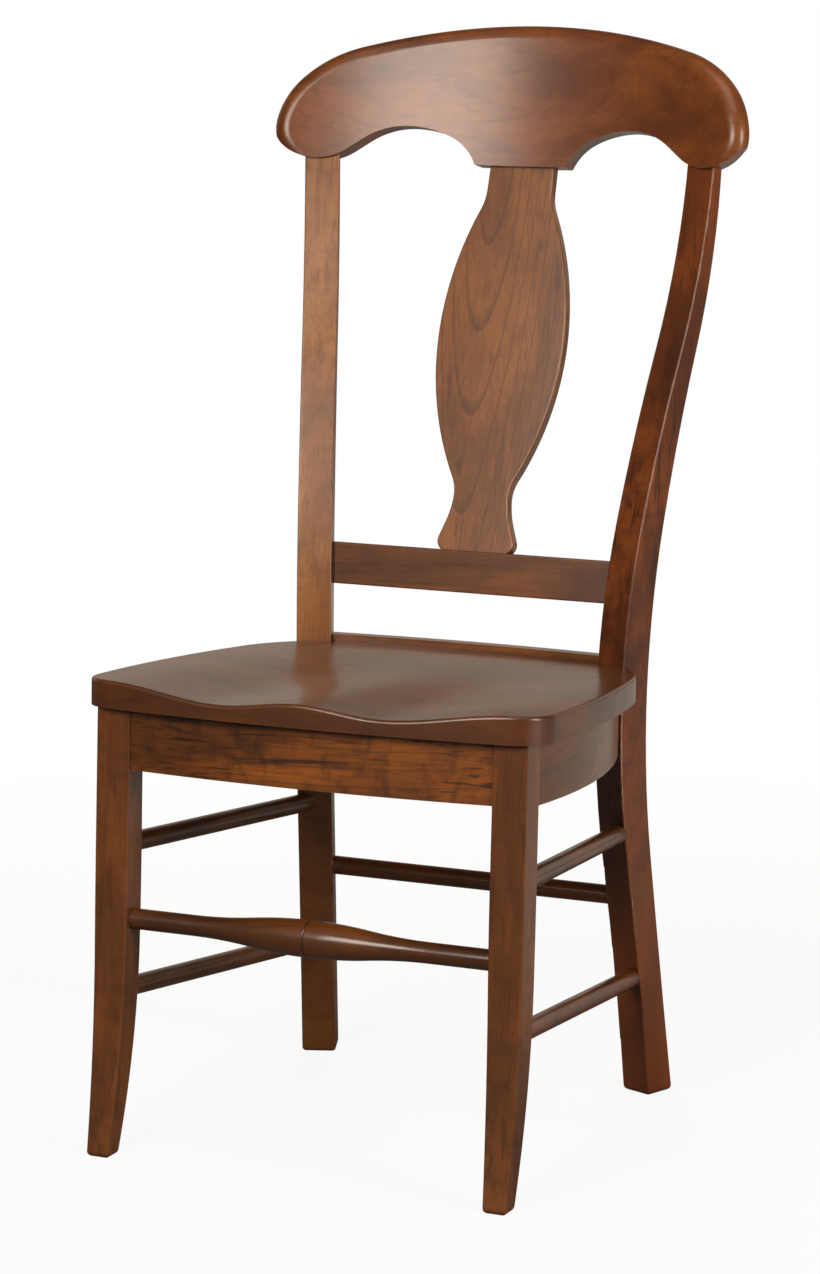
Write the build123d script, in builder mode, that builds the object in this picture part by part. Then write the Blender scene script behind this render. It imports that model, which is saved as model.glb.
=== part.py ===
from build123d import *
from math import asin, atan2, cos, degrees, radians, sin, tan
import os

# Stained hardwood side chair: sabre front legs, raked sawn back posts, scooped plank seat,
# arched crest rail and vase splat. Millimetres, +Z up, +Y to the back, origin on the floor under
# the middle of the chair. Left and right are as seen from in front, with the right side at +X.

# Fits
fit_gap = 0.1
end_gap = 1.0
edge_ease = 1.5

# Seat
seat_height = 457.0
seat_thickness = 25.5
seat_pitch = 2.6
front_line = -247.3
seat_overhang = 26.0
seat_corner_across = 236.5
seat_corner_forward = 8.0
seat_corner_radius = 37.0
seat_half_width = 236.5
seat_widest_back = 83.0
seat_hip_across = 212.0
seat_hip_back = 277.0
seat_edge_round = 3.0
scoop_across = 75.0
scoop_edge = 185.0
scoop_front_depth = 10.0
scoop_front_ridge = 6.5
scoop_depth = 11.0
scoop_ridge = 7.0
scoop_deepest_back = 70.0
scoop_fade_depth = 6.0
scoop_fade_ridge = 2.5
scoop_fade_back = 205.0
scoop_end_back = 320.0

# Front legs
leg_across = 204.5
leg_width = 35.0
leg_depth_top = 27.5
leg_depth_knee = 30.0
leg_depth_foot = 22.0
leg_knee_height = 203.0
leg_knee_forward = 14.4
leg_foot_forward = 42.0
leg_taper_height = 300.0
leg_taper_inside = 8.2
leg_taper_outside = 3.8
foot_round = 5.0

# Back posts, sawn flat and set with their front faces turned towards the sitter
post_across = 168.3
post_back = 354.6
post_turn = 21.2
post_width = 35.0
post_knee_height = 250.0
post_bend_height = 416.0
post_lumbar_height = 582.0
post_shoulder_height = 748.0
post_foot_rake = 43.4
post_knee_lean = 2.9312
post_lumbar_lean = 8.3281
post_shoulder_lean = 11.6557
post_top_rake = 112.9
post_foot_depth = 34.5
post_knee_depth = 34.5
post_bend_depth = 37.0
post_lumbar_depth = 32.0
post_shoulder_depth = 22.5
post_top_depth = 12.1

# Aprons
apron_height = 59.0
apron_thickness = 20.0
front_apron_bow = 13.0
front_apron_inset = 0.5
side_apron_bow = 19.0
side_apron_inset = 1.0
side_overrun = 3.0
side_bury = 2.0
side_landing_shift = 1.0
rear_apron_rise = 33.0
rear_apron_bow = 12.0
rear_apron_set = 4.0

# Lower back rail
rail_height = 70.8
rail_width = 42.0
rail_thickness = 20.0
rail_lean = 9.0
rail_back = 373.5

# Crest rail, drawn in a plane that leans back and bent to an arc
crest_base = 915.0
crest_back = 495.8
crest_lean = 12.0
crest_radius = 573.5
crest_thickness = 21.0
crest_top = 144.5
crest_top_radius = 575.0
crest_shoulder_across = 180.0
crest_flank_inset = 20.0
crest_flank_rise = 78.0
crest_half_length = 256.5
crest_end_rise = 36.0
crest_lobe_radius = 44.0
crest_lobe_turn = 60.0
crest_lobe_inset = 7.0
crest_lobe_rise = 12.5
crest_scallop_across = 120.0
crest_scallop_rise = 36.3
crest_scallop_curl = 45.0
crest_scallop_curl_drop = 10.1
crest_scallop_fall = 46.6
crest_scallop_fall_drop = 15.9
crest_scallop_run = 20.0
crest_tongue_across = 49.7
crest_front_round = 14.0
crest_back_round = 3.5
crest_joint_rise = 16.0
crest_seat_depth = 8.0
crest_overrun = 5.0

# Splat
splat_thickness = 12.0
splat_set = 2.0
splat_foot_across = 41.0
splat_foot_rise = 12.0
splat_foot_base = 33.0
splat_ankle_across = 35.6
splat_ankle_rise = 27.0
splat_waist_across = 30.0
splat_waist_rise = 53.0
splat_hip_across = 34.3
splat_hip_rise = 73.4
splat_belly_across = 69.0
splat_belly_rise = 214.0
splat_shoulder_across = 40.0
splat_shoulder_drop = 45.0
splat_neck_across = 35.5
splat_neck_drop = 25.0
splat_seat_depth = 2.0
splat_tongue_width = 48.0
splat_tongue_thickness = 7.0
splat_tongue_depth = 10.0

# Stretchers
stretcher_diameter = 19.0
side_upper_front = 297.0
side_upper_rear = 273.0
side_lower_front = 157.0
side_lower_rear = 122.0
rear_stretcher_height = 204.5
front_stretcher_height = 227.5
turned_end_diameter = 20.0
turned_bulb_diameter = 35.6
turned_bulb_half = 122.0
turned_score = 0.6

# Dowels
dowel_diameter = 8.0
dowel_depth = 15.0
crest_dowel_diameter = 6.0
crest_dowel_depth = 22.0
crest_dowel_spacing = 16.0
apron_dowel_first = 16.0
apron_dowel_second = 42.0
rear_dowel_first = -10.0
rear_dowel_second = 29.0

# Corner blocks and screws
block_height = 38.0
block_along_front = 70.0
block_along_side = 62.0
block_along_rear = 55.0
block_along_hip = 48.0
block_end = 12.0
block_gap = 0.3
block_seat_screw_in = 26.0
screw_diameter = 4.0
screw_head_diameter = 8.0
screw_head_height = 3.0
screw_bite = 13.0
screw_through = 14.0

# Planes and lines that the pieces share
turn_sin = sin(radians(post_turn))
turn_cos = cos(radians(post_turn))
seat_base = Plane(
    origin=(0, front_line, seat_height - seat_thickness),
    x_dir=(1, 0, 0),
    z_dir=(0, sin(radians(seat_pitch)), cos(radians(seat_pitch))),
)
seat_top = seat_base.offset(seat_thickness)
post_plane = Plane(
    origin=(post_across, front_line + post_back, 0),
    x_dir=(turn_sin, turn_cos, 0),
    z_dir=(turn_cos, -turn_sin, 0),
)
post_cheek = post_plane.offset(-post_width / 2)
rear_apron_end = post_back + rear_apron_set
rail_level = seat_base.from_local_coords(Vector(0, rear_apron_end, rear_apron_rise)).Z + rail_height
rail_plane = Plane(
    origin=(0, front_line + rail_back, rail_level),
    x_dir=(1, 0, 0),
    z_dir=(0, sin(radians(rail_lean)), cos(radians(rail_lean))),
)
crest_up = Vector(0, sin(radians(crest_lean)), cos(radians(crest_lean)))
crest_origin = Vector(0, front_line + crest_back, crest_base)
crest_face = Plane(origin=crest_origin, x_dir=(1, 0, 0), z_dir=(0, -crest_up.Z, crest_up.Y))
crest_plan = Plane(origin=crest_origin, x_dir=(1, 0, 0), z_dir=crest_up)
splat_foot = rail_plane.from_local_coords(Vector(0, splat_set, rail_width / 2))
splat_rise = crest_origin - splat_foot
splat_face = Plane(origin=splat_foot, x_dir=(1, 0, 0), z_dir=Vector(1, 0, 0).cross(splat_rise))

post_tip_height = crest_base + crest_joint_rise + crest_seat_depth
knee_rake = (post_bend_height - post_knee_height) * tan(radians(post_knee_lean))
lumbar_rake = (post_lumbar_height - post_bend_height) * tan(radians(post_lumbar_lean))
shoulder_rake = post_top_rake - (post_tip_height - post_shoulder_height) * tan(radians(post_shoulder_lean))
post_stations = (
    (0, post_foot_rake, post_foot_depth),
    (post_knee_height, knee_rake, post_knee_depth),
    (post_bend_height, 0, post_bend_depth),
    (post_lumbar_height, lumbar_rake, post_lumbar_depth),
    (post_shoulder_height, shoulder_rake, post_shoulder_depth),
    (post_tip_height, post_top_rake, post_top_depth),
)
leg_top = Vector(front_line, seat_height)
leg_knee = Vector(front_line - leg_knee_forward, leg_knee_height)
leg_foot = Vector(front_line - leg_foot_forward, 0)


def post_edge(share):
    foot, knee, bend, lumbar, shoulder, tip = [
        Vector(rake + share * depth, height) for height, rake, depth in post_stations
    ]
    lean = lumbar - knee
    rise = TangentArc(bend, lumbar, tangent=lean)
    rise = TangentArc(lumbar, shoulder, tangent=rise % 1)
    rise = TangentArc(shoulder, tip, tangent=rise % 1)
    fall = TangentArc(bend, knee, tangent=-lean)
    fall = TangentArc(knee, foot, tangent=fall % 1)
    return fall @ 1, rise @ 1


with BuildLine() as post_middle_line:
    post_edge(0)

with BuildLine() as post_front_line:
    post_edge(-0.5)

with BuildLine() as leg_middle_line:
    shank = Line(leg_top + (leg_depth_top / 2, 0), leg_knee + (leg_depth_knee / 2, 0))
    TangentArc(shank @ 1, leg_foot + (leg_depth_foot / 2, 0), tangent=shank % 1)


def reach(line, height):
    level = Axis((0, height, 0), (1, 0, 0))
    crossings = [edge.find_intersection_points(level) for edge in line.edges()]
    return [points[0].X for points in crossings if points][0]


def post_middle(height):
    return post_plane.from_local_coords(Vector(reach(post_middle_line, height), height, 0))


def post_front(height):
    return post_plane.from_local_coords(Vector(reach(post_front_line, height), height, 0))


def leg_middle(height):
    return Vector(leg_across, reach(leg_middle_line, height), height)


def other_side(plane):
    flip = Vector(-1, 1, 1)
    return Plane(
        origin=[a * b for a, b in zip(plane.origin, flip)],
        z_dir=[a * b for a, b in zip(plane.z_dir, flip)],
    )


crest_joint = post_middle(crest_base + crest_joint_rise)
post_tip = post_middle_line.edges().sort_by(Axis.Y)[-1]
post_lean = post_plane.from_local_coords(post_tip % 1) - post_plane.origin

# Rear post and front leg before their joints are bored
with BuildPart() as post_blank:
    with BuildSketch(post_plane.offset(-post_width / 2)):
        with BuildLine():
            front = post_edge(-0.5)
            back = post_edge(0.5)
            Line(front[0], back[0])
            Line(front[1], back[1])
        make_face()
    extrude(amount=post_width)
    fillet(post_blank.faces().sort_by(Axis.Z)[0].edges(), radius=foot_round)
    fillet(post_blank.edges().filter_by(lambda edge: edge.length > 2 * post_width), radius=edge_ease)
    split(bisect_by=Plane(origin=crest_joint, z_dir=post_lean), keep=Keep.BOTTOM)

with BuildPart() as leg_blank:
    with BuildSketch(Plane.YZ.offset(leg_across - leg_width)):
        with BuildLine():
            front = Line(leg_top, leg_knee)
            shin = TangentArc(leg_knee, leg_foot, tangent=front % 1)
            back = Line(leg_top + (leg_depth_top, 0), leg_knee + (leg_depth_knee, 0))
            calf = TangentArc(back @ 1, leg_foot + (leg_depth_foot, 0), tangent=back % 1)
            Line(leg_top, back @ 0)
            Line(leg_foot, calf @ 1)
        make_face()
    extrude(amount=2 * leg_width)
    with BuildSketch(Plane.XZ.offset(-front_line - leg_depth_knee)):
        with BuildLine():
            outside = leg_across + leg_width / 2
            inside = leg_across - leg_width / 2
            Line((inside, seat_height), (outside, seat_height))
            Line((outside, seat_height), (outside, leg_taper_height))
            outer = TangentArc((outside, leg_taper_height), (outside - leg_taper_outside, 0), tangent=(0, -1))
            Line((inside, seat_height), (inside, leg_taper_height))
            inner = TangentArc((inside, leg_taper_height), (inside + leg_taper_inside, 0), tangent=(0, -1))
            Line(outer @ 1, inner @ 1)
        make_face()
    extrude(amount=leg_foot_forward + 2 * leg_depth_knee, mode=Mode.INTERSECT)
    split(bisect_by=seat_base, keep=Keep.BOTTOM)
    fillet(leg_blank.faces().sort_by(Axis.Z)[0].edges(), radius=foot_round)
    fillet(leg_blank.edges().filter_by(lambda edge: edge.length > 2 * leg_width), radius=edge_ease)

other_post = mirror(post_blank.part, about=Plane.YZ)

# Aprons under the seat
with BuildPart() as front_apron_blank:
    with BuildSketch(seat_base):
        with BuildLine():
            end = leg_across - leg_width / 2
            face = ThreePointArc(
                (-end, front_apron_inset), (0, front_apron_inset - front_apron_bow), (end, front_apron_inset)
            )
            inset = front_apron_inset + apron_thickness
            back = ThreePointArc((-end, inset), (0, inset - front_apron_bow), (end, inset))
            Line(face @ 0, back @ 0)
            Line(face @ 1, back @ 1)
        make_face()
    extrude(amount=-apron_height)

side_start = Vector(outside - side_apron_inset - apron_thickness / 2, leg_depth_top / 2)
side_landing = post_front(seat_height - seat_thickness - apron_height / 2)
side_landing += post_plane.z_dir * side_landing_shift
side_end = seat_base.to_local_coords(side_landing)
side_arc = SagittaArc(side_start, Vector(side_end.X, side_end.Y), -side_apron_bow)
side_middle = side_arc.arc_center
side_from = degrees(atan2(side_start.Y - side_middle.Y, side_start.X - side_middle.X))
side_sweep = degrees(atan2(side_end.Y - side_middle.Y, side_end.X - side_middle.X)) - side_from
post_into = post_plane.x_dir
with BuildPart() as side_apron_blank:
    with BuildSketch(seat_base):
        with BuildLine():
            turn = side_sweep + side_overrun
            face = CenterArc(side_middle, side_arc.radius + apron_thickness / 2, side_from, turn)
            back = CenterArc(side_middle, side_arc.radius - apron_thickness / 2, side_from, turn)
            Line(face @ 0, back @ 0)
            Line(face @ 1, back @ 1)
        make_face()
    extrude(amount=-apron_height)
    split(bisect_by=Plane(origin=side_landing + post_into * side_bury, z_dir=post_into), keep=Keep.BOTTOM)
    add(leg_blank.part, mode=Mode.SUBTRACT)
    add(post_blank.part, mode=Mode.SUBTRACT)

near = rear_apron_end - apron_thickness / 2
far = rear_apron_end + apron_thickness / 2
rear_arc = ThreePointArc((-post_across, near), (0, near + rear_apron_bow), (post_across, near))
with BuildPart() as rear_apron_blank:
    with BuildSketch(seat_base.offset(-apron_height)):
        with BuildLine():
            add(rear_arc)
            back = ThreePointArc((-post_across, far), (0, far + rear_apron_bow), (post_across, far))
            Line(rear_arc @ 0, back @ 0)
            Line(rear_arc @ 1, back @ 1)
        make_face()
    extrude(amount=apron_height + rear_apron_rise)
    split(bisect_by=post_cheek, keep=Keep.BOTTOM)
    split(bisect_by=other_side(post_cheek), keep=Keep.BOTTOM)
    chamfer(rear_apron_blank.faces().sort_by(Axis.Z)[-1].edges().filter_by(GeomType.CIRCLE), length=edge_ease)

# Lower back rail
with BuildPart() as back_rail_blank:
    with BuildSketch(rail_plane.offset(-rail_width / 2)):
        Rectangle(2 * post_middle(rail_level).X, rail_thickness)
    extrude(amount=rail_width)
    split(bisect_by=post_cheek, keep=Keep.BOTTOM)
    split(bisect_by=other_side(post_cheek), keep=Keep.BOTTOM)
    fillet(back_rail_blank.edges().filter_by(Axis.X), radius=edge_ease)

# Crest rail
crest_wrap = degrees(asin(crest_half_length / crest_radius)) + crest_overrun
with BuildPart() as crest_blank:
    with BuildSketch(crest_face.offset(-crest_half_length)):
        with BuildLine():
            with BuildLine() as half:
                top_drop = crest_top_radius - (crest_top_radius**2 - crest_shoulder_across**2) ** 0.5
                shoulder = (crest_shoulder_across, crest_top - top_drop)
                top = RadiusArc((0, crest_top), shoulder, crest_top_radius)
                flank_end = (crest_half_length - crest_flank_inset, crest_flank_rise)
                flank = TangentArc(shoulder, flank_end, tangent=top % 1)
                end = TangentArc(flank @ 1, (crest_half_length, crest_end_rise), tangent=flank % 1)
                lobe = JernArc(end @ 1, end % 1, crest_lobe_radius, -crest_lobe_turn)
                under = Line(lobe @ 1, lobe @ 1 + lobe % 1 * crest_lobe_radius)
                Line(under @ 1, (0, (under @ 1).Y))
            mirror(half.line, about=Plane.YZ)
        make_face()
    extrude(amount=2 * crest_half_length)
    with BuildSketch(crest_plan.offset(-crest_top)):
        with BuildLine():
            hub = (0, -crest_radius)
            turn = 90 - crest_wrap
            face = CenterArc(hub, crest_radius - crest_thickness / 2, turn, 2 * crest_wrap)
            back = CenterArc(hub, crest_radius + crest_thickness / 2, turn, 2 * crest_wrap)
            Line(face @ 0, back @ 0)
            Line(face @ 1, back @ 1)
        make_face()
    extrude(amount=3 * crest_top, mode=Mode.INTERSECT)
    broad = crest_blank.faces().sort_by(SortBy.AREA)[-2:].sort_by(Axis.Y)
    for face, round_over in zip(broad, (crest_front_round, crest_back_round)):
        fillet(face.edges().sort_by(Axis.Z)[1:], radius=round_over)
    with BuildSketch(crest_face.offset(-crest_half_length)):
        with BuildLine():
            with BuildLine() as half:
                tongue = Line((0, 0), (crest_tongue_across, 0))
                peak = Vector(crest_scallop_across, crest_scallop_rise)
                curl_end = peak - (crest_scallop_curl, crest_scallop_curl_drop)
                curl = TangentArc(peak, curl_end, tangent=(-1, 0))
                TangentArc(curl_end, tongue @ 1, tangent=curl % 1)
                fall_end = peak + (crest_scallop_fall, -crest_scallop_fall_drop)
                fall = TangentArc(peak, fall_end, tangent=(1, 0))
                run = Line(fall_end, fall_end + fall % 1 * crest_scallop_run)
                lobe_end = (crest_half_length - crest_lobe_inset, crest_lobe_rise)
                lobe = TangentArc(run @ 1, lobe_end, tangent=run % 1)
                past = lobe @ 1 + lobe % 1 * crest_lobe_radius
                Polyline(lobe @ 1, past, (past.X, -crest_top), (0, -crest_top))
            mirror(half.line, about=Plane.YZ)
        make_face()
    extrude(amount=2 * crest_half_length, mode=Mode.SUBTRACT)
    add(post_blank.part, mode=Mode.SUBTRACT)
    add(other_post, mode=Mode.SUBTRACT)

# Vase splat, tongued into the lower rail and the crest
with BuildPart() as splat_blank:
    with BuildSketch(splat_face.offset(-splat_thickness / 2)):
        with BuildLine():
            with BuildLine() as half:
                belly = (splat_belly_across, splat_belly_rise)
                shoulder = (splat_shoulder_across, splat_rise.length - splat_shoulder_drop)
                top = TangentArc(belly, shoulder, tangent=(0, 1))
                neck_base = (splat_neck_across, splat_rise.length - splat_neck_drop)
                top = TangentArc(shoulder, neck_base, tangent=top % 1)
                neck = Line(neck_base, top @ 1 + top % 1 * (splat_neck_drop + splat_seat_depth))
                side = TangentArc(belly, (splat_hip_across, splat_hip_rise), tangent=(0, -1))
                side = TangentArc(side @ 1, (splat_waist_across, splat_waist_rise), tangent=side % 1)
                side = TangentArc(side @ 1, (splat_ankle_across, splat_ankle_rise), tangent=side % 1)
                side = TangentArc(side @ 1, (splat_foot_across, splat_foot_rise), tangent=side % 1)
                foot = TangentArc(side @ 1, (splat_foot_base, -splat_seat_depth), tangent=side % 1)
                Line(foot @ 1, (0, -splat_seat_depth))
                Line(neck @ 1, (0, (neck @ 1).Y))
            mirror(half.line, about=Plane.YZ)
        make_face()
    extrude(amount=splat_thickness)
    broad = splat_blank.faces().sort_by(SortBy.AREA)[-2:]
    fillet(broad.edges(), radius=edge_ease)
    add(back_rail_blank.part, mode=Mode.SUBTRACT)
    add(crest_blank.part, mode=Mode.SUBTRACT)

# Scooped plank seat, cut back round the posts
hip_end = seat_base.to_local_coords(
    post_plane.from_local_coords(Vector(-post_bend_depth / 8, seat_height - seat_thickness, post_width / 8))
)
scoop_reach = seat_half_width + seat_corner_radius
scoop_stations = (
    (-2 * seat_overhang, scoop_front_depth, scoop_front_ridge),
    (scoop_deepest_back, scoop_depth, scoop_ridge),
    (scoop_fade_back, scoop_fade_depth, scoop_fade_ridge),
    (scoop_end_back, 0, 0),
    (2 * scoop_end_back - scoop_fade_back, 0, 0),
)


def scoop_section(back, depth, ridge):
    origin = seat_top.from_local_coords(Vector(0, back, 0))
    with BuildSketch(Plane(origin=origin, x_dir=(1, 0, 0), z_dir=-seat_top.y_dir)) as section:
        with BuildLine():
            floor = Spline(
                (-scoop_reach, 0),
                (-scoop_edge, 0),
                (-scoop_across, -depth),
                (0, ridge - depth),
                (scoop_across, -depth),
                (scoop_edge, 0),
                (scoop_reach, 0),
                tangents=((1, 0), (1, 0)),
            )
            Polyline(floor @ 1, (scoop_reach, seat_thickness), (-scoop_reach, seat_thickness), floor @ 0)
        make_face()
    return section.sketch


with BuildPart() as seat_blank:
    with BuildSketch(seat_base) as plank:
        with BuildLine():
            with BuildLine() as half:
                corner = (seat_corner_across, -seat_corner_forward)
                TangentArc((0, -seat_overhang), corner, tangent=(1, 0))
                widest = (seat_half_width, seat_widest_back)
                side = ThreePointArc(corner, widest, (seat_hip_across, seat_hip_back))
                hip = TangentArc(side @ 1, (hip_end.X, hip_end.Y), tangent=side % 1)
                Line(hip @ 1, rear_arc @ 0.95)
                ThreePointArc(rear_arc @ 0.5, rear_arc @ 0.75, rear_arc @ 0.95)
            mirror(half.line, about=Plane.YZ)
        make_face()
        fillet(plank.vertices().group_by(Axis.Y)[0], radius=seat_corner_radius)
    extrude(amount=seat_thickness + scoop_depth)
    loft(sections=[scoop_section(*station) for station in scoop_stations], mode=Mode.SUBTRACT)
    top = seat_blank.faces().filter_by(GeomType.BSPLINE)[0]
    fillet(top.edges().sort_by(Axis.Y)[0], radius=seat_edge_round)
    add(post_blank.part, mode=Mode.SUBTRACT)
    add(other_post, mode=Mode.SUBTRACT)


# Where stretchers, dowels and screws go, on the right side
def rod(span, diameter, spare=0, mode=Mode.ADD):
    start, finish = span
    with Locations(Plane(origin=(start + finish) / 2, z_dir=finish - start)):
        Cylinder(diameter / 2, (finish - start).length + 2 * spare, mode=mode)


def pins(planes, diameter, depth):
    with Locations(*planes):
        Cylinder(diameter / 2, 2 * depth)


def bore_pins(planes, diameter, depth):
    with Locations(*planes):
        Cylinder(diameter / 2 + fit_gap, 2 * (depth + end_gap), mode=Mode.SUBTRACT)


def screws(planes):
    with Locations(*planes):
        Cylinder(screw_diameter / 2, screw_through + screw_bite, align=on_head)
        Cylinder(screw_head_diameter / 2, screw_head_height, align=below_head)


def bore_screws(planes):
    with Locations(*planes):
        reach_in = screw_through + screw_bite + end_gap
        Cylinder(screw_diameter / 2 + fit_gap, reach_in, align=on_head, mode=Mode.SUBTRACT)
        Cylinder(screw_head_diameter / 2 + end_gap, block_along_side, align=below_head, mode=Mode.SUBTRACT)


def both_sides(planes):
    return [*planes, *[other_side(plane) for plane in planes]]


def side_across(back, outward=0):
    return side_middle.X + ((side_arc.radius + outward) ** 2 - (back - side_middle.Y) ** 2) ** 0.5


def block_side(back):
    return (side_across(back, -apron_thickness / 2 - block_gap), back)


def post_inside(height, back):
    along = (back - post_plane.origin.Y - turn_sin * post_width / 2) / turn_cos
    return post_plane.from_local_coords(Vector(along, height, -post_width / 2))


on_head = (Align.CENTER, Align.CENTER, Align.MIN)
below_head = (Align.CENTER, Align.CENTER, Align.MAX)

upper_span = (leg_middle(side_upper_front), post_middle(side_upper_rear))
lower_span = (leg_middle(side_lower_front), post_middle(side_lower_rear))
rear_tip = post_middle(rear_stretcher_height)
rear_span = (Vector(-rear_tip.X, rear_tip.Y, rear_tip.Z), rear_tip)
front_tip = leg_middle(front_stretcher_height)
front_span = (Vector(-front_tip.X, front_tip.Y, front_tip.Z), front_tip)

apron_drops = (apron_dowel_first, apron_dowel_second)
front_pins = [
    Plane(
        origin=seat_base.from_local_coords(Vector(inside, front_apron_inset + apron_thickness / 2, -drop)),
        z_dir=(1, 0, 0),
    )
    for drop in apron_drops
]
side_front_pins = [
    Plane(
        origin=seat_base.from_local_coords(Vector(side_across(leg_depth_top), leg_depth_top, -drop)),
        z_dir=seat_base.y_dir,
    )
    for drop in apron_drops
]
side_tangent = Vector(side_middle.Y - side_end.Y, side_end.X - side_middle.X, 0).normalized()
side_rear_pins = [
    Plane(
        origin=seat_base.from_local_coords(Vector(side_end.X, side_end.Y, -drop)),
        z_dir=side_tangent + Vector(0, 1, 0),
    )
    for drop in apron_drops
]
rear_pins = [
    Plane(
        origin=post_inside(seat_height - seat_thickness - drop, front_line + rear_apron_end),
        z_dir=(1, 0, 0),
    )
    for drop in (rear_dowel_first, rear_dowel_second)
]
rail_pins = [
    Plane(
        origin=post_inside(rail_level + rise, rail_plane.from_local_coords(Vector(0, 0, rise)).Y),
        z_dir=(1, 0, 0),
    )
    for rise in (-rail_width / 4, rail_width / 4)
]
crest_pins = [
    Plane(origin=crest_joint + post_plane.z_dir * shift, z_dir=crest_up)
    for shift in (-crest_dowel_spacing / 2, crest_dowel_spacing / 2)
]
tongues = [
    Plane(origin=splat_foot, x_dir=(1, 0, 0), z_dir=splat_rise),
    Plane(origin=crest_origin, x_dir=(1, 0, 0), z_dir=splat_rise),
]

# Corner blocks follow the aprons, and their screws run square to them
front_block_end = inside - block_along_front
front_block_back = leg_depth_top + block_along_side
rear_block_end = post_across - post_width / 2 - block_along_rear
rear_block_front = side_end.Y - block_along_hip
front_screw_across = inside - block_along_front / 2
side_screw_back = leg_depth_top + 0.6 * block_along_side
rear_screw_across = rear_block_end + 1.5 * block_end
hip_screw_back = rear_block_front + 1.2 * block_end


def screw_plane(across, back, drop, direction):
    return Plane(origin=seat_base.from_local_coords(Vector(across, back, -drop)), z_dir=direction)


front_inner = front_apron_inset + apron_thickness - front_apron_bow * (1 - (front_screw_across / inside) ** 2)
rear_inner = near + rear_apron_bow * (1 - (rear_screw_across / post_across) ** 2)
front_side_inner = side_across(side_screw_back) - apron_thickness / 2
rear_side_inner = side_across(hip_screw_back) - apron_thickness / 2
block_middle = block_height / 2
front_block_screws = [
    screw_plane(front_screw_across, front_inner + screw_through, block_middle, -seat_base.y_dir),
    screw_plane(front_side_inner - screw_through, side_screw_back, block_middle, seat_base.x_dir),
]
rear_block_screws = [
    screw_plane(rear_screw_across, rear_inner - screw_through, block_middle, seat_base.y_dir),
    screw_plane(rear_side_inner - screw_through, hip_screw_back, block_middle, seat_base.x_dir),
]
seat_screw_across = inside - block_seat_screw_in / 2
seat_screw_back = leg_depth_top + block_seat_screw_in
front_seat_screw = [screw_plane(seat_screw_across, seat_screw_back, screw_through, seat_base.z_dir)]
rear_seat_screw = [
    screw_plane(post_across - block_seat_screw_in, near - block_seat_screw_in, screw_through, seat_base.z_dir)
]

with BuildPart() as corner_block_front_right:
    with BuildSketch(seat_base):
        with BuildLine():
            buried = front_apron_inset + apron_thickness / 2
            side = ThreePointArc(*[block_side(back) for back in (buried, front_block_back / 2, front_block_back)])
            Polyline(
                side @ 1,
                side @ 1 - (block_end, 0),
                (front_block_end, front_apron_inset + apron_thickness + block_end),
                (front_block_end, buried),
                side @ 0,
            )
        make_face()
    extrude(amount=-block_height)
    add(leg_blank.part, mode=Mode.SUBTRACT)
    add(front_apron_blank.part, mode=Mode.SUBTRACT)
    bore_screws(front_block_screws + front_seat_screw)

with BuildPart() as corner_block_rear_right:
    with BuildSketch(seat_base):
        with BuildLine():
            hip = (rear_block_front, (rear_block_front + far) / 2, far)
            side = ThreePointArc(*[block_side(back) for back in hip])
            Polyline(
                side @ 0,
                side @ 0 - (block_end, 0),
                (rear_block_end, near + rear_apron_bow / 2 - block_end),
                (rear_block_end, far),
                side @ 1,
            )
        make_face()
    extrude(amount=-block_height)
    add(post_blank.part, mode=Mode.SUBTRACT)
    add(rear_apron_blank.part, mode=Mode.SUBTRACT)
    bore_screws(rear_block_screws + rear_seat_screw)

# Frame pieces with their joints bored
with BuildPart() as rear_post_right:
    add(post_blank.part)
    rod(upper_span, stretcher_diameter + 2 * fit_gap, end_gap, Mode.SUBTRACT)
    rod(lower_span, stretcher_diameter + 2 * fit_gap, end_gap, Mode.SUBTRACT)
    rod(rear_span, stretcher_diameter + 2 * fit_gap, end_gap, Mode.SUBTRACT)
    bore_pins(side_rear_pins + rear_pins + rail_pins, dowel_diameter, dowel_depth)
    bore_pins(crest_pins, crest_dowel_diameter, crest_dowel_depth)

with BuildPart() as front_leg_right:
    add(leg_blank.part)
    rod(upper_span, stretcher_diameter + 2 * fit_gap, end_gap, Mode.SUBTRACT)
    rod(lower_span, stretcher_diameter + 2 * fit_gap, end_gap, Mode.SUBTRACT)
    rod(front_span, turned_end_diameter + 2 * fit_gap, end_gap, Mode.SUBTRACT)
    bore_pins(front_pins + side_front_pins, dowel_diameter, dowel_depth)

with BuildPart() as side_apron_right:
    add(side_apron_blank.part)
    bore_pins(side_front_pins + side_rear_pins, dowel_diameter, dowel_depth)
    bore_screws([front_block_screws[1], rear_block_screws[1]])

with BuildPart() as front_apron:
    add(front_apron_blank.part)
    bore_pins(both_sides(front_pins), dowel_diameter, dowel_depth)
    bore_screws(both_sides(front_block_screws[:1]))

with BuildPart() as rear_apron:
    add(rear_apron_blank.part)
    bore_pins(both_sides(rear_pins), dowel_diameter, dowel_depth)
    bore_screws(both_sides(rear_block_screws[:1]))

with BuildPart() as seat:
    add(seat_blank.part)
    bore_screws(both_sides(front_seat_screw + rear_seat_screw))

with BuildPart() as back_rail:
    add(back_rail_blank.part)
    bore_pins(both_sides(rail_pins), dowel_diameter, dowel_depth)
    with Locations(tongues[0]):
        Box(
            splat_tongue_width + 2 * fit_gap,
            splat_tongue_thickness + 2 * fit_gap,
            2 * (splat_tongue_depth + end_gap),
            mode=Mode.SUBTRACT,
        )

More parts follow.
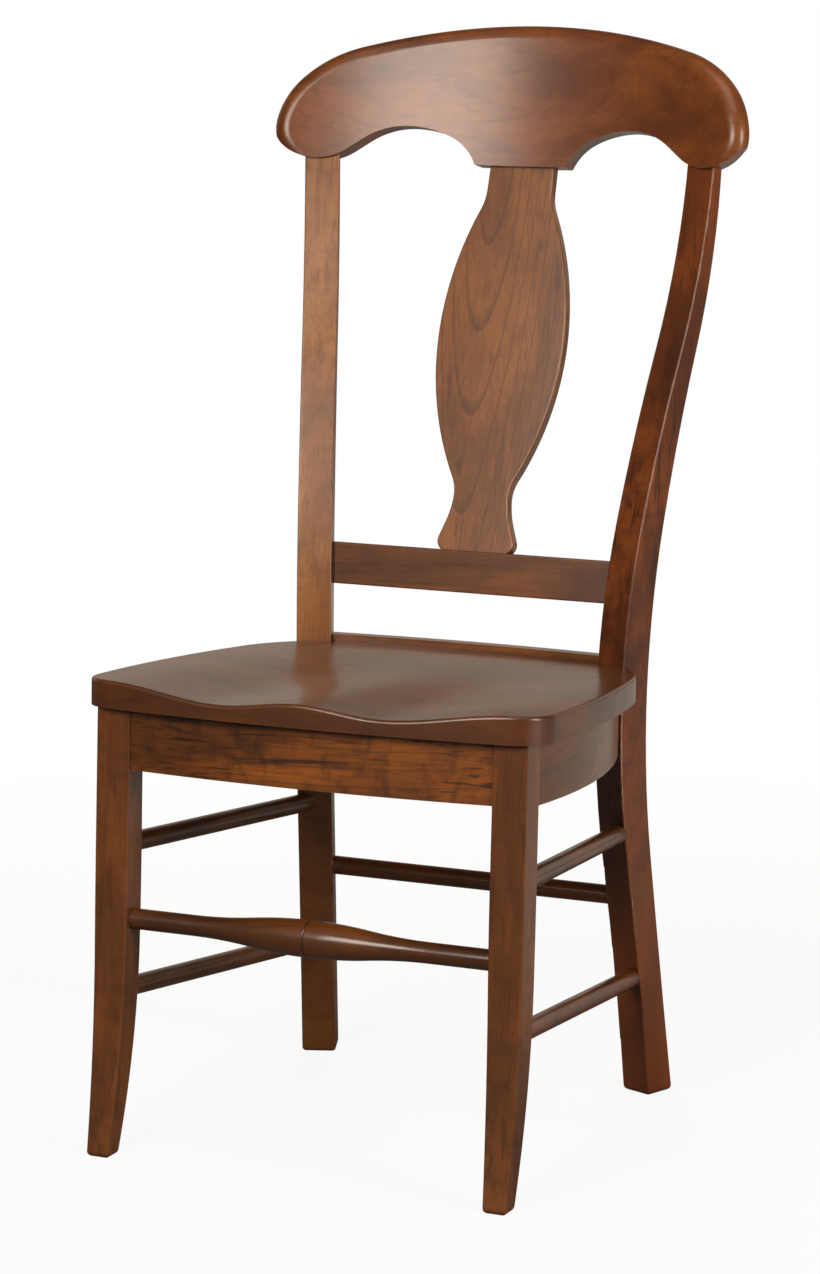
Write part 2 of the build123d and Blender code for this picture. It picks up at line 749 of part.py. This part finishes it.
with BuildPart() as crest_rail:
    add(crest_blank.part)
    bore_pins(both_sides(crest_pins), crest_dowel_diameter, crest_dowel_depth)
    with Locations(tongues[1]):
        Box(
            splat_tongue_width + 2 * fit_gap,
            splat_tongue_thickness + 2 * fit_gap,
            2 * (splat_tongue_depth + end_gap),
            mode=Mode.SUBTRACT,
        )

with BuildPart() as splat:
    add(splat_blank.part)
    with Locations(*tongues):
        Box(splat_tongue_width, splat_tongue_thickness, 2 * splat_tongue_depth)

# Stretchers
with BuildPart() as side_stretcher_upper_right:
    rod(upper_span, stretcher_diameter)

with BuildPart() as side_stretcher_lower_right:
    rod(lower_span, stretcher_diameter)

with BuildPart() as rear_stretcher:
    rod(rear_span, stretcher_diameter)

with BuildPart() as front_stretcher:
    with BuildSketch(Plane(origin=(0, front_tip.Y, front_tip.Z), x_dir=(1, 0, 0), z_dir=(0, -1, 0))):
        with BuildLine():
            with BuildLine() as half:
                bulb = turned_bulb_diameter / 2
                Line((0, bulb - turned_score), (turned_score, bulb))
                swell = TangentArc(
                    (turned_score, bulb),
                    ((turned_score + turned_bulb_half) / 2, (bulb + turned_end_diameter / 2) / 2),
                    tangent=(1, 0),
                )
                swell = TangentArc(swell @ 1, (turned_bulb_half, turned_end_diameter / 2), tangent=swell % 1)
                Polyline(swell @ 1, (front_tip.X, turned_end_diameter / 2), (front_tip.X, 0), (0, 0))
            mirror(half.line, about=Plane.YZ)
        make_face()
    revolve(axis=Axis((0, front_tip.Y, front_tip.Z), (1, 0, 0)))

# Dowels and screws
with BuildPart() as front_apron_dowels:
    pins(both_sides(front_pins), dowel_diameter, dowel_depth)

with BuildPart() as side_apron_dowels:
    pins(both_sides(side_front_pins + side_rear_pins), dowel_diameter, dowel_depth)

with BuildPart() as rear_apron_dowels:
    pins(both_sides(rear_pins), dowel_diameter, dowel_depth)

with BuildPart() as back_rail_dowels:
    pins(both_sides(rail_pins), dowel_diameter, dowel_depth)

with BuildPart() as crest_dowels:
    pins(both_sides(crest_pins), crest_dowel_diameter, crest_dowel_depth)

with BuildPart() as corner_block_screws:
    screws(both_sides(front_block_screws + rear_block_screws))

with BuildPart() as seat_screws:
    screws(both_sides(front_seat_screw + rear_seat_screw))

# Left side
with BuildPart() as rear_post_left:
    mirror(rear_post_right.part, about=Plane.YZ)

with BuildPart() as front_leg_left:
    mirror(front_leg_right.part, about=Plane.YZ)

with BuildPart() as side_apron_left:
    mirror(side_apron_right.part, about=Plane.YZ)

with BuildPart() as side_stretcher_upper_left:
    mirror(side_stretcher_upper_right.part, about=Plane.YZ)

with BuildPart() as side_stretcher_lower_left:
    mirror(side_stretcher_lower_right.part, about=Plane.YZ)

with BuildPart() as corner_block_front_left:
    mirror(corner_block_front_right.part, about=Plane.YZ)

with BuildPart() as corner_block_rear_left:
    mirror(corner_block_rear_right.part, about=Plane.YZ)

pieces = {
    "rear_post_left": rear_post_left,
    "rear_post_right": rear_post_right,
    "front_leg_left": front_leg_left,
    "front_leg_right": front_leg_right,
    "seat": seat,
    "front_apron": front_apron,
    "side_apron_left": side_apron_left,
    "side_apron_right": side_apron_right,
    "rear_apron": rear_apron,
    "back_rail": back_rail,
    "splat": splat,
    "crest_rail": crest_rail,
    "front_stretcher": front_stretcher,
    "rear_stretcher": rear_stretcher,
    "side_stretcher_upper_left": side_stretcher_upper_left,
    "side_stretcher_upper_right": side_stretcher_upper_right,
    "side_stretcher_lower_left": side_stretcher_lower_left,
    "side_stretcher_lower_right": side_stretcher_lower_right,
    "corner_block_front_left": corner_block_front_left,
    "corner_block_front_right": corner_block_front_right,
    "corner_block_rear_left": corner_block_rear_left,
    "corner_block_rear_right": corner_block_rear_right,
    "corner_block_screws": corner_block_screws,
    "seat_screws": seat_screws,
    "front_apron_dowels": front_apron_dowels,
    "side_apron_dowels": side_apron_dowels,
    "rear_apron_dowels": rear_apron_dowels,
    "back_rail_dowels": back_rail_dowels,
    "crest_dowels": crest_dowels,
}
os.makedirs("parts", exist_ok=True)
for name, piece in pieces.items():
    piece.part.label = name
    export_step(piece.part, f"parts/{name}.step")
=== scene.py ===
from math import radians
import bpy
import bmesh
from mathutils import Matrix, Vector

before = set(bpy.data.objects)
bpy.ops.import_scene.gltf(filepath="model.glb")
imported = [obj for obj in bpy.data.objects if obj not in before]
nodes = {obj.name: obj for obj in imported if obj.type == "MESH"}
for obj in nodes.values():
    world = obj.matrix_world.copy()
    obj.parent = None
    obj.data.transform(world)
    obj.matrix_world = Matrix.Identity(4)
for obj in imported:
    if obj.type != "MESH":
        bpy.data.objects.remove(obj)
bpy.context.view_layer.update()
scene = bpy.context.scene
mm = 0.001  # in metres
print("frame loaded:", len(nodes), "pieces of the chair")


# sRGB hex to the linear colour that a socket takes, by the standard curve
def hexColor(code):
    parts = [int(code[i:i + 2], 16) / 255 for i in (1, 3, 5)]
    return [p / 12.92 if p <= 0.04045 else ((p + 0.055) / 1.055) ** 2.4 for p in parts] + [1.0]


# one node, its settings, its fixed values and what feeds it; in0, in1 and so on are sockets by number
def addNode(tree, kind, settings=None, **inputs):
    made = tree.nodes.new(kind)
    for key, value in (settings or {}).items():
        setattr(made, key, value)
    for key, value in inputs.items():
        numbered = key.startswith("in") and key[2:].isdigit()
        socket = made.inputs[int(key[2:]) if numbered else key.replace("_", " ")]
        if isinstance(value, bpy.types.NodeSocket):
            tree.links.new(value, socket)
        else:
            socket.default_value = value
    return made


# an empty material, ready for its nodes
def newMaterial(name):
    made = bpy.data.materials.new(name)
    made.use_nodes = True
    made.node_tree.nodes.clear()
    return made


# the turn that makes a camera or a lamp at one place look at another
def aimed(place, target):
    return (Vector(target) - Vector(place)).to_track_quat("-Z", "Y").to_euler()


# camera, at the eye and the angle that the picture was taken from
cameraLook = {
    "eye": (1.64597, -3.5567, 1.1744),
    "target": (0.0174, -0.0625, 0.4852),
    "lens": 115.35,
    "reach": 300,  # m, past the rim of the floor
}
cameraData = bpy.data.cameras.new("camera")
cameraData.lens = cameraLook["lens"]
cameraData.clip_end = cameraLook["reach"]
camera = bpy.data.objects.new("camera", cameraData)
scene.collection.objects.link(camera)
camera.location = cameraLook["eye"]
camera.rotation_euler = aimed(cameraLook["eye"], cameraLook["target"])
scene.camera = camera
scene.view_settings.view_transform = "Standard"
print("camera set")


# soft studio light: a box in front and a little left, a broad one overhead, one on the right, and a fill
# behind that the lacquer doesn't mirror
lampLook = {
    "front box": {"at": (-0.38, -3.25, 2.15), "size": (1.75, 1.4), "watts": 88},
    "overhead box": {"at": (0.3, -0.6, 3.6), "size": (2.0, 2.0), "watts": 20},
    "right box": {"at": (3.3, -0.9, 1.5), "size": (0.9, 2.0), "watts": 75},
    "rear fill": {"at": (-1.2, 3.2, 2.0), "size": (2.4, 2.0), "watts": 75, "mirrored": False},
}
lampAim = (0, 0, 0.55)
lampColor = "#fff6e9"  # a little warm
for name, lamp in lampLook.items():
    light = bpy.data.lights.new(name, "AREA")
    light.shape = "RECTANGLE"
    light.size, light.size_y = lamp["size"]
    light.energy = lamp["watts"]
    light.color = hexColor(lampColor)[:3]
    holder = bpy.data.objects.new(name, light)
    scene.collection.objects.link(holder)
    holder.visible_glossy = lamp.get("mirrored", True)
    holder.location = lamp["at"]
    holder.rotation_euler = aimed(lamp["at"], lampAim)

# camera rays see plain white all round; the wood is lit by, and reflects, a low pale wall behind in a dim room
worldLook = {
    "background": "#ffffff",
    "room": "#363636",
    "wall": "#bab0a2",
    "wallSide": (-0.5, 0.87, 0.0),  # where the wall stands, as a direction from the chair
    "wallEdge": (0.2, 0.75),  # how squarely a ray meets it where it starts and is full
    "wallTop": (0.6, 0.2),  # and how steeply a ray rises where it ends and is full
}
world = bpy.data.worlds.new("studio")
scene.world = world
world.use_nodes = True
tree = world.node_tree
tree.nodes.clear()
rays = addNode(tree, "ShaderNodeLightPath")
seen = addNode(tree, "ShaderNodeMath", {"operation": "MAXIMUM"},
               in0=rays.outputs["Is Camera Ray"], in1=rays.outputs["Is Transmission Ray"])
coords = addNode(tree, "ShaderNodeTexCoord")
facing = addNode(tree, "ShaderNodeVectorMath", {"operation": "DOT_PRODUCT"},
                 in0=coords.outputs["Generated"], in1=worldLook["wallSide"])
turn = addNode(tree, "ShaderNodeMapRange", {"interpolation_type": "SMOOTHSTEP"}, in0=facing.outputs["Value"],
               in1=worldLook["wallEdge"][0], in2=worldLook["wallEdge"][1])
axes = addNode(tree, "ShaderNodeSeparateXYZ", in0=coords.outputs["Generated"])
height = addNode(tree, "ShaderNodeMapRange", {"interpolation_type": "SMOOTHSTEP"}, in0=axes.outputs["Z"],
                 in1=worldLook["wallTop"][0], in2=worldLook["wallTop"][1])
wall = addNode(tree, "ShaderNodeMath", {"operation": "MULTIPLY"}, in0=turn.outputs[0], in1=height.outputs[0])
tone = addNode(tree, "ShaderNodeMix", {"data_type": "RGBA"}, in0=wall.outputs[0],
               in6=hexColor(worldLook["room"]), in7=hexColor(worldLook["wall"]))
around = addNode(tree, "ShaderNodeBackground", Color=tone.outputs[2], Strength=1.0)
plain = addNode(tree, "ShaderNodeBackground", Color=hexColor(worldLook["background"]), Strength=1.0)
both = addNode(tree, "ShaderNodeMixShader", in0=seen.outputs[0], in1=around.outputs[0], in2=plain.outputs[0])
addNode(tree, "ShaderNodeOutputWorld", Surface=both.outputs[0])
print("lights set")


# floor: a wide pale disc that keeps the soft shadow under the chair and fades to white far out; the lacquer
# mirrors it only behind on the right, so the front of the chair stays deep in colour; seen from below it is clear
floorLook = {
    "radius": 80.0,  # m
    "segments": 96,
    "color": "#ededeb",
    "shade": "#646464",  # what the wood gets back from it in front
    "lit": "#aaaaa6",  # and on the right
    "glow": 0.9,  # share of plain white at the chair's feet
    "whitening": (0.6, 2.0),  # m from the chair, from that share to all white
    "sweepSide": (0.8, 0.6, 0.0),  # towards the part that the lacquer mirrors
    "sweep": (0.2, 1.2),  # m that way, where that part starts and is full
    "mirrored": 0.12,  # share of white that the lacquer sees there
}
bm = bmesh.new()
bmesh.ops.create_circle(bm, cap_ends=True, radius=floorLook["radius"], segments=floorLook["segments"])
floorMesh = bpy.data.meshes.new("floor")
bm.to_mesh(floorMesh)
bm.free()
floor = bpy.data.objects.new("floor", floorMesh)
scene.collection.objects.link(floor)
paint = newMaterial("matt white studio paint")
tree = paint.node_tree
coords = addNode(tree, "ShaderNodeTexCoord")
away = addNode(tree, "ShaderNodeVectorMath", {"operation": "LENGTH"}, in0=coords.outputs["Object"])
fade = addNode(tree, "ShaderNodeMapRange", {"interpolation_type": "SMOOTHSTEP"}, in0=away.outputs["Value"],
               in1=floorLook["whitening"][0], in2=floorLook["whitening"][1], in3=floorLook["glow"], in4=1.0)
rays = addNode(tree, "ShaderNodeLightPath")
seen = addNode(tree, "ShaderNodeMath", {"operation": "MULTIPLY"},
               in0=fade.outputs[0], in1=rays.outputs["Is Camera Ray"])
side = addNode(tree, "ShaderNodeVectorMath", {"operation": "DOT_PRODUCT"},
               in0=coords.outputs["Object"], in1=floorLook["sweepSide"])
behind = addNode(tree, "ShaderNodeMapRange", {"interpolation_type": "SMOOTHSTEP"}, in0=side.outputs["Value"],
                 in1=floorLook["sweep"][0], in2=floorLook["sweep"][1])
mirror = addNode(tree, "ShaderNodeMath", {"operation": "MULTIPLY"},
                 in0=behind.outputs[0], in1=rays.outputs["Is Glossy Ray"])
glossy = addNode(tree, "ShaderNodeMath", {"operation": "MULTIPLY_ADD"},
                 in0=mirror.outputs[0], in1=floorLook["mirrored"], in2=seen.outputs[0])
back = addNode(tree, "ShaderNodeMix", {"data_type": "RGBA"}, in0=behind.outputs[0],
               in6=hexColor(floorLook["shade"]), in7=hexColor(floorLook["lit"]))
pale = addNode(tree, "ShaderNodeMix", {"data_type": "RGBA"}, in0=rays.outputs["Is Camera Ray"],
               in6=back.outputs[2], in7=hexColor(floorLook["color"]))
matt = addNode(tree, "ShaderNodeBsdfDiffuse", Color=pale.outputs[2])
glow = addNode(tree, "ShaderNodeEmission", Color=hexColor(worldLook["background"]), Strength=1.0)
both = addNode(tree, "ShaderNodeMixShader", in0=glossy.outputs[0], in1=matt.outputs[0], in2=glow.outputs[0])
under = addNode(tree, "ShaderNodeNewGeometry")
clear = addNode(tree, "ShaderNodeBsdfTransparent")
shown = addNode(tree, "ShaderNodeMixShader",
                in0=under.outputs["Backfacing"], in1=both.outputs[0], in2=clear.outputs[0])
addNode(tree, "ShaderNodeOutputMaterial", Surface=shown.outputs[0])
floorMesh.materials.append(paint)
print("floor laid")


# which way a board's length runs, as the turn in degrees that lays its grain along the pattern's Z
grainTurn = {"up": (0, 0, 0), "across": (0, -90, 0), "deep": (90, 0, 0)}
ringSpan = 314  # mm from ring to ring in a wave texture of scale 1

# stained maple under satin lacquer: soft clouds where the stain took unevenly, small blotches, a few mineral streaks,
# thin ring lines and fine grain along the board, painted shade in the corners, and stain sanded thin on the eased
# edges with a painted highlight along them.
# Each layer gives the width and length of its marks in mm, how fine and how bent they are, the part of the noise
# that shows, and the tone that it brings and its share
mapleLook = {
    "layers": {
        "patches": {"size": (90, 300), "detail": 2, "bend": 0.3, "shows": (0.42, 0.62)},
        "clouds": {"size": (60, 190), "detail": 3, "bend": 0.5, "shows": (0.34, 0.66), "tone": "mid", "share": 1.0},
        "blotches": {"size": (22, 46), "detail": 3, "bend": 0.9, "shows": (0.5, 0.76), "tone": "dark", "share": 0.3},
        "streaks": {"size": (6, 150), "detail": 4, "bend": 0.8, "shows": (0.54, 0.68), "within": "patches",
                    "tone": "dark", "share": 0.45},
        "rings": {"ring": 16, "stretch": 0.16, "detail": 2, "fine": 0.3, "bend": 6.0, "shows": (0.78, 1.0),
                  "tone": "dark", "share": 0.22},
        "curl": {"size": (60, 26), "detail": 3, "bend": 1.4, "shows": (0.46, 0.7), "tone": "dark", "share": 0.14},
        # grain lines of 1 mm and pores of 0.3 mm, drawn coarser so that they show
        "lines": {"size": (2.4, 80), "detail": 3, "bend": 0.3, "shows": (0.46, 0.7), "tone": "dark", "share": 0.3},
        "pores": {"size": (1.3, 24), "detail": 2, "bend": 0.0, "shows": (0.45, 0.75), "tone": "dark", "share": 0.22},
    },
    # stain rubbed off the eased edges, with a painted highlight along them: mm across, and how far the normal turns
    # there
    "edge": {"radius": 1.6, "samples": 4, "shows": (0.985, 0.86), "tone": "rubAndHighlight", "share": 0.4},
    # painted shade in corners and between parts, where the surface is hemmed in: mm around, and how open the place is
    "corner": {"reach": 5, "samples": 6, "shows": (0.75, 0.3), "tone": "dark", "share": 0.7},
    "score": {"tone": "dark", "share": 0.9},  # stain left in a line scored round a turned piece
    "rubbed": {"tone": "rubAndHighlight", "share": 0.2},  # stain that heels have thinned at its middle
    "heavy": {"tone": "dark", "share": 0.65},  # painted shadow: darker along part of a post, where the seat shades it
    "paintedLight": {"tone": "light", "share": 0.5},  # painted light: lighter along parts of a post, where bounce from the floor and light from the right fall
    "grooves": {"layer": "pores", "strength": 0.1, "depth": 0.2, "dull": 0.1},  # depth in mm
    "roughness": 0.42, "specular": 0.3, "lacquer": 0.8, "lacquerRoughness": 0.24,
}

# planed birch left bare inside the frame, and turned beech dowels: pale, with ring lines and short flecks, no lacquer
bareLook = {
    "layers": {
        "clouds": {"size": (30, 120), "detail": 2, "bend": 0.4, "shows": (0.35, 0.7), "tone": "dark", "share": 0.4},
        "rings": {"ring": 5, "stretch": 1.0, "detail": 2, "fine": 0.4, "bend": 2.0, "shows": (0.6, 1.0),
                  "tone": "dark", "share": 0.5},
        # rays of about 0.4 mm, drawn coarser so that they show
        "flecks": {"size": (1.2, 9), "detail": 2, "bend": 0.0, "shows": (0.5, 0.72), "tone": "dark", "share": 0.5},
    },
    "grooves": {"layer": "flecks", "strength": 0.3, "depth": 0.2, "dull": 0.06},
    "roughness": 0.56, "specular": 0.5, "lacquer": 0.0, "lacquerRoughness": 0.3,
}
woodIor = 1.5  # of the wood and of the lacquer


# wood of one board: the layers of marks first, then the stain, painted shade, painted light and painted edge
# highlight that lie by place, then the surface
def woodMaterial(name, board, finish):
    material = newMaterial(name)
    tree = material.node_tree
    tone = {key: hexColor(board[key]) for key in ("light", "mid", "dark", "rubAndHighlight") if key in board}
    lay = [radians(a + b) for a, b in zip(grainTurn[board["grain"]], board.get("tilt", (0, 0, 0)))]
    coords = addNode(tree, "ShaderNodeTexCoord")
    place = addNode(tree, "ShaderNodeMapping", in0=coords.outputs["Object"], Location=board["from"], Rotation=lay)
    masks = {}
    laidTones = []  # what shows where, in which tone and how strongly
    for layer, marks in finish["layers"].items():
        if "ring" in marks:
            log = addNode(tree, "ShaderNodeVectorMath", {"operation": "MULTIPLY"},
                          in0=place.outputs[0], in1=(1, 1, marks["stretch"]))
            pattern = addNode(tree, "ShaderNodeTexWave",
                              {"wave_type": "RINGS", "rings_direction": "Z", "wave_profile": "SAW"},
                              Vector=log.outputs[0], Scale=ringSpan / board.get("ring", marks["ring"]),
                              Distortion=marks["bend"], Detail=marks["detail"], Detail_Scale=marks["fine"])
        else:
            width, length = (size * mm for size in marks["size"])
            spread = addNode(tree, "ShaderNodeVectorMath", {"operation": "MULTIPLY"},
                             in0=place.outputs[0], in1=(1 / width, 1 / width, 1 / length))
            pattern = addNode(tree, "ShaderNodeTexNoise", Vector=spread.outputs[0], Scale=1.0,
                              Detail=marks["detail"], Distortion=marks["bend"])
        low, high = marks["shows"]
        shown = addNode(tree, "ShaderNodeMapRange", {"interpolation_type": "SMOOTHSTEP"},
                        in0=pattern.outputs["Fac"], in1=low, in2=high)
        if "within" in marks:
            shown = addNode(tree, "ShaderNodeMath", {"operation": "MULTIPLY"},
                            in0=shown.outputs[0], in1=masks[marks["within"]])
        masks[layer] = shown.outputs[0]
        if "tone" in marks:
            laidTones.append((masks[layer], marks["tone"], board.get(layer, marks["share"])))

    places = []  # a value, where it starts to show and is full, and the stain, painted shade or painted light that it brings
    if "turned" in board:
        axes = addNode(tree, "ShaderNodeSeparateXYZ", in0=coords.outputs["Object"])
        off = addNode(tree, "ShaderNodeMath", {"operation": "ABSOLUTE"}, in0=axes.outputs["X"])
        for lie, (start, full) in board["turned"].items():
            places.append((off.outputs[0], start * mm, full * mm, finish[lie]))
    # painted shadow and painted light along a post, by height
    for lie in ("heavy", "paintedLight"):
        for start, full in board.get(lie, ()):
            axes = addNode(tree, "ShaderNodeSeparateXYZ", in0=coords.outputs["Object"])
            places.append((axes.outputs["Z"], start, full, finish[lie]))
    # stain thin on the eased edges, and a painted highlight along them
    if "edge" in finish:
        eased = addNode(tree, "ShaderNodeBevel", {"samples": finish["edge"]["samples"]},
                        Radius=finish["edge"]["radius"] * mm)
        flat = addNode(tree, "ShaderNodeNewGeometry")
        along = addNode(tree, "ShaderNodeVectorMath", {"operation": "DOT_PRODUCT"},
                        in0=eased.outputs[0], in1=flat.outputs["Normal"])
        places.append((along.outputs["Value"], *finish["edge"]["shows"], finish["edge"]))
    # painted shade: darker where the surface is hemmed in, in corners and between parts
    if "corner" in finish:
        nook = addNode(tree, "ShaderNodeAmbientOcclusion", {"samples": finish["corner"]["samples"]},
                       Distance=finish["corner"]["reach"] * mm)
        places.append((nook.outputs["AO"], *finish["corner"]["shows"], finish["corner"]))
    for value, start, full, laidTone in places:
        shown = addNode(tree, "ShaderNodeMapRange", {"interpolation_type": "SMOOTHSTEP"},
                        in0=value, in1=start, in2=full)
        laidTones.append((shown.outputs[0], laidTone["tone"], laidTone["share"]))

    color = tone["light"]
    for shown, over, share in laidTones:
        amount = addNode(tree, "ShaderNodeMath", {"operation": "MULTIPLY"}, in0=shown, in1=share)
        color = addNode(tree, "ShaderNodeMix", {"data_type": "RGBA"},
                        in0=amount.outputs[0], in6=color, in7=tone[over]).outputs[2]

    grooves = finish["grooves"]
    gloss = addNode(tree, "ShaderNodeMapRange", in0=masks[grooves["layer"]],
                    in3=finish["roughness"], in4=finish["roughness"] + grooves["dull"])
    bump = addNode(tree, "ShaderNodeBump", {"invert": True}, Strength=grooves["strength"],
                   Distance=grooves["depth"] * mm, Height=masks[grooves["layer"]])
    shader = addNode(tree, "ShaderNodeBsdfPrincipled", Base_Color=color, Roughness=gloss.outputs[0], IOR=woodIor,
                     Specular_IOR_Level=finish["specular"], Normal=bump.outputs[0], Coat_Weight=finish["lacquer"],
                     Coat_Roughness=board.get("polish", finish["lacquerRoughness"]), Coat_IOR=woodIor)
    addNode(tree, "ShaderNodeOutputMaterial", Surface=shader.outputs[0])
    return material


# a solid of the frame takes a material in place of its plain one
def wear(piece, material):
    nodes[piece].data.materials.clear()
    nodes[piece].data.materials.append(material)


# the stain's tones, and each board: the way its grain runs and its tilt from that in degrees, where in the log it
# was cut from in m, its rings in mm and the roughness of its polish. A layer's name gives that layer's own share.
# Painted shadow and painted light along a post start and are full at heights in m, and a turned piece's marks at mm
# from its middle
# in each tone, the rubbed colour is stain rubbed thin and, on eased edges, also a painted highlight
crestTone = {"light": "#8a4a1b", "mid": "#693512", "dark": "#3b1a09", "rubAndHighlight": "#7a4a26"}
splatTone = {"light": "#935823", "mid": "#744118", "dark": "#42210d", "rubAndHighlight": "#a8703f"}
paleTone = {"light": "#a56a33", "mid": "#8a5326", "dark": "#532d12", "rubAndHighlight": "#ae7843"}
darkTone = {"light": "#864317", "mid": "#4d240c", "dark": "#2b1205", "rubAndHighlight": "#a5672f"}
legTone = {"light": "#874c1b", "mid": "#643613", "dark": "#341a08", "rubAndHighlight": "#96622f"}
apronTone = {"light": "#a35a1c", "mid": "#6a3812", "dark": "#281306", "rubAndHighlight": "#8a5a30"}
seatTone = {"light": "#6e3c18", "mid": "#512b12", "dark": "#2c1709", "rubAndHighlight": "#6a4728"}
turnedTone = {"light": "#703d15", "mid": "#4a270e", "dark": "#281206", "rubAndHighlight": "#8c5222"}
roundTone = {"light": "#7a4318", "mid": "#532b0f", "dark": "#2d1507", "rubAndHighlight": "#744824", "polish": 0.16}
boards = {
    # painted shadow on this post, below the seat
    "rear_post_left": {**paleTone, "grain": "up", "tilt": (6, 0, 0), "from": (0.11, 0.02, 0.3),
                       "curl": 0.28, "heavy": [(0.52, 0.32)]},
    # painted light on this post, low down and high up
    "rear_post_right": {**darkTone, "grain": "up", "tilt": (6, 2, 0), "from": (-0.16, 0.05, 1.7),
                        "blotches": 0.6, "streaks": 0.85, "curl": 0.32, "paintedLight": [(0.45, 0.15), (0.64, 0.95)]},
    "front_leg_left": {**legTone, "grain": "up", "tilt": (2, 1, 0), "from": (0.31, 0.07, 2.1),
                       "streaks": 0.6, "curl": 0.22, "blotches": 0.4},
    "front_leg_right": {**legTone, "grain": "up", "tilt": (2, -2, 0), "from": (-0.23, 0.11, 3.3),
                        "streaks": 0.6, "curl": 0.22, "blotches": 0.4},
    "seat": {**seatTone, "grain": "across", "from": (0.05, 0.13, 0.2), "pores": 0.1, "lines": 0.12, "rings": 0.1,
             "streaks": 0.2, "curl": 0.06, "blotches": 0.15, "polish": 0.23},
    "front_apron": {**apronTone, "grain": "across", "tilt": (0, 2, 0), "from": (0.02, 0.2, 1.1),
                    "blotches": 0.55, "streaks": 0.85, "curl": 0.45},
    "side_apron_left": {**legTone, "grain": "deep", "from": (0.1, 0.03, 4.2)},
    "side_apron_right": {**legTone, "grain": "deep", "from": (-0.1, 0.07, 5.2), "rings": 0.12, "blotches": 0.15},
    "rear_apron": {**legTone, "grain": "across", "from": (0.1, 0.05, 6.4)},
    "back_rail": {**legTone, "grain": "across", "tilt": (0, 1, 0), "from": (0.3, 0.03, 7.1)},
    "splat": {**splatTone, "grain": "up", "tilt": (23, 1, 0), "from": (0.012, 0.155, 8.2),
              "rings": 0.55, "ring": 9, "streaks": 0.6, "polish": 0.16},
    "crest_rail": {**crestTone, "grain": "across", "tilt": (90, 7, 0), "from": (0.3, 0.985, 9.3),
                   "streaks": 0.15, "rings": 0.16, "ring": 11, "lines": 0.18, "polish": 0.26},
    "front_stretcher": {**turnedTone, "grain": "across", "from": (0.2, 0.14, 10.1),
                        "turned": {"rubbed": (130, 30), "score": (1.6, 0.8)},
                        "streaks": 0.7, "lines": 0.45, "polish": 0.16},
    "rear_stretcher": {**roundTone, "grain": "across", "from": (0.21, 0.16, 11.1)},
    "side_stretcher_upper_left": {**roundTone, "grain": "deep", "from": (0.2, 0.1, 12.1)},
    "side_stretcher_upper_right": {**roundTone, "grain": "deep", "from": (0.4, 0.1, 13.1)},
    "side_stretcher_lower_left": {**roundTone, "grain": "deep", "from": (0.6, 0.1, 14.1)},
    "side_stretcher_lower_right": {**roundTone, "grain": "deep", "from": (0.8, 0.1, 15.1)},
}
for piece, board in boards.items():
    wear(piece, woodMaterial("stained maple " + piece.replace("_", " "), board, mapleLook))
print("stained wood:", len(boards), "boards")

birchBoard = {"light": "#d3ae7e", "dark": "#a67c4c", "grain": "across", "tilt": (0, 0, 45), "from": (0.1, 0.4, 0.1)}
beechBoard = {"light": "#d8b584", "dark": "#a5794a", "grain": "up", "from": (0.2, 0.1, 0.1), "ring": 3}
birch = woodMaterial("planed birch", birchBoard, bareLook)
beech = woodMaterial("turned beech", beechBoard, bareLook)
for end in ("front", "rear"):
    for hand in ("left", "right"):
        wear("corner_block_" + end + "_" + hand, birch)
for joint in ("front_apron", "side_apron", "rear_apron", "back_rail", "crest"):
    wear(joint + "_dowels", beech)
print("bare wood: blocks and dowels")


# zinc plated steel of the screws: a cool grey with a faint cloudy bloom, duller where it clouds
zincLook = {
    "bright": "#c3c6c8",
    "bloom": "#9a9c98",
    "cloud": 2.5,  # mm
    "detail": 3.0,
    "roughness": (0.28, 0.46),
}
zinc = newMaterial("zinc plated steel")
tree = zinc.node_tree
coords = addNode(tree, "ShaderNodeTexCoord")
cloud = addNode(tree, "ShaderNodeTexNoise", Vector=coords.outputs["Object"],
                Scale=1 / (zincLook["cloud"] * mm), Detail=zincLook["detail"])
color = addNode(tree, "ShaderNodeMix", {"data_type": "RGBA"}, in0=cloud.outputs["Fac"],
                in6=hexColor(zincLook["bright"]), in7=hexColor(zincLook["bloom"]))
dull = addNode(tree, "ShaderNodeMapRange", in0=cloud.outputs["Fac"],
               in3=zincLook["roughness"][0], in4=zincLook["roughness"][1])
shader = addNode(tree, "ShaderNodeBsdfPrincipled",
                 Base_Color=color.outputs[2], Metallic=1.0, Roughness=dull.outputs[0])
addNode(tree, "ShaderNodeOutputMaterial", Surface=shader.outputs[0])
for piece in ("corner_block_screws", "seat_screws"):
    wear(piece, zinc)
print("screws plated")
